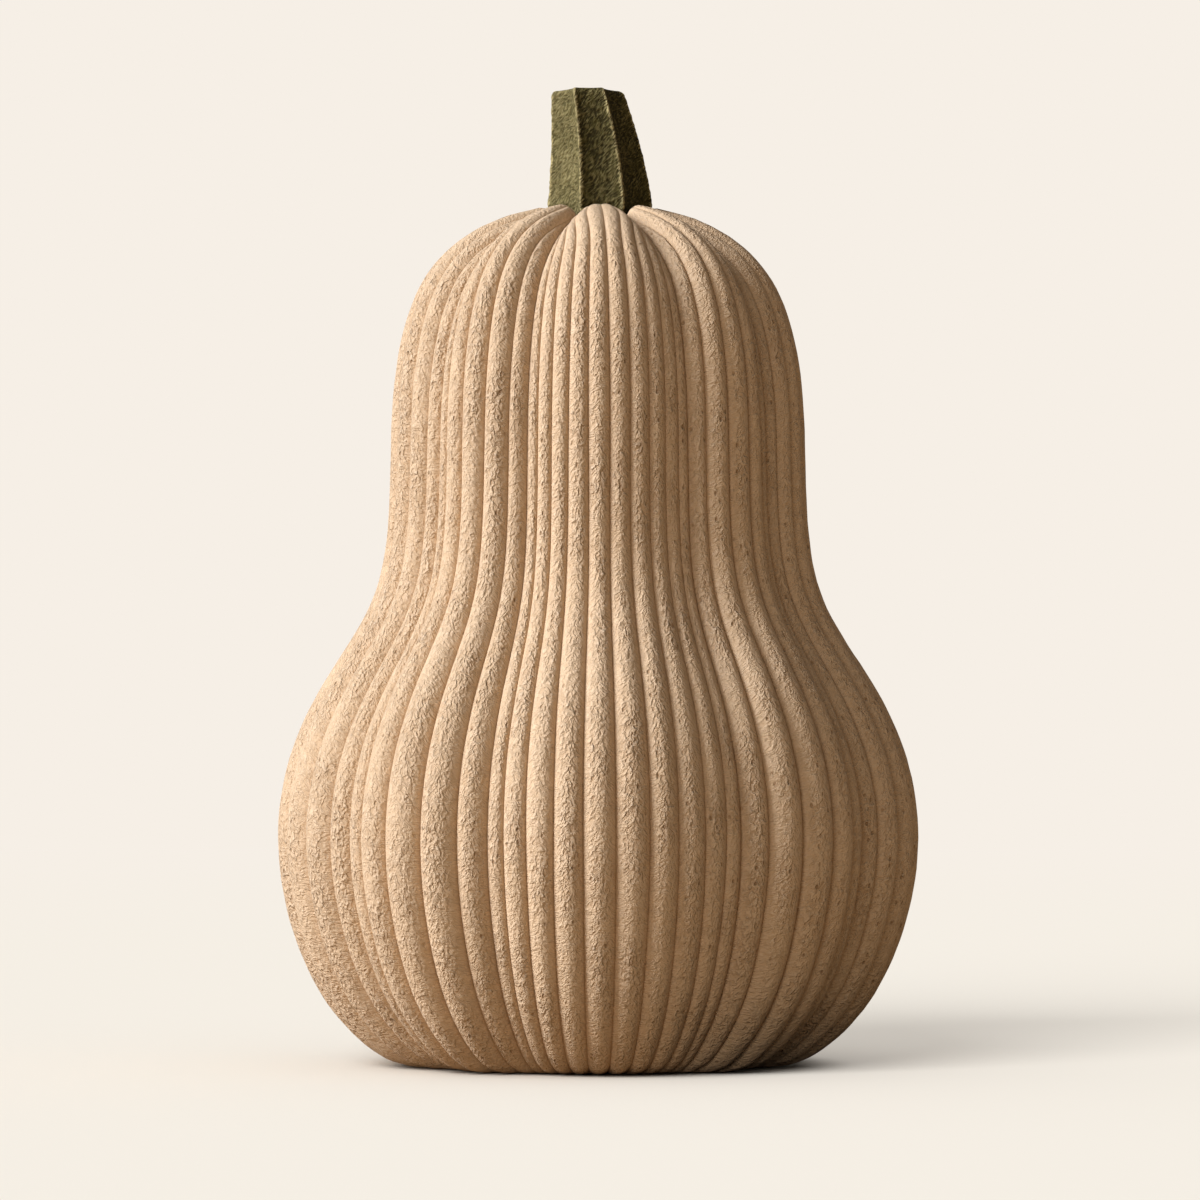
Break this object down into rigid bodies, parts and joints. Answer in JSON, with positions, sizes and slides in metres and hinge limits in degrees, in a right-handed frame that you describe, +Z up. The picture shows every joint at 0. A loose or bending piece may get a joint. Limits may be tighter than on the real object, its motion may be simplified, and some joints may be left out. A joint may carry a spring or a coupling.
{
  "type": "butternut squash",
  "caption": "Whole ribbed butternut squash with a rounded bulb, a straight neck, lobes that close round a cut angular stem, standing on its flat blossom end.",
  "frame": {"origin": "on the resting plane under the middle of the fruit", "axes": "+Z up along the fruit from the blossom end to the stem; the pictured front faces -Y; +X is to the right of that view"},
  "size_m": [0.1386, 0.1396, 0.213],
  "materials": {
    "skin": "matte tan skin with a fine slanting grain",
    "stem_bark": "dry olive green bark, rough and fibrous"
  },
  "bodies": {
    "root": {"fruit": "skin", "stem": "stem_bark"}
  },
  "joints": []
}
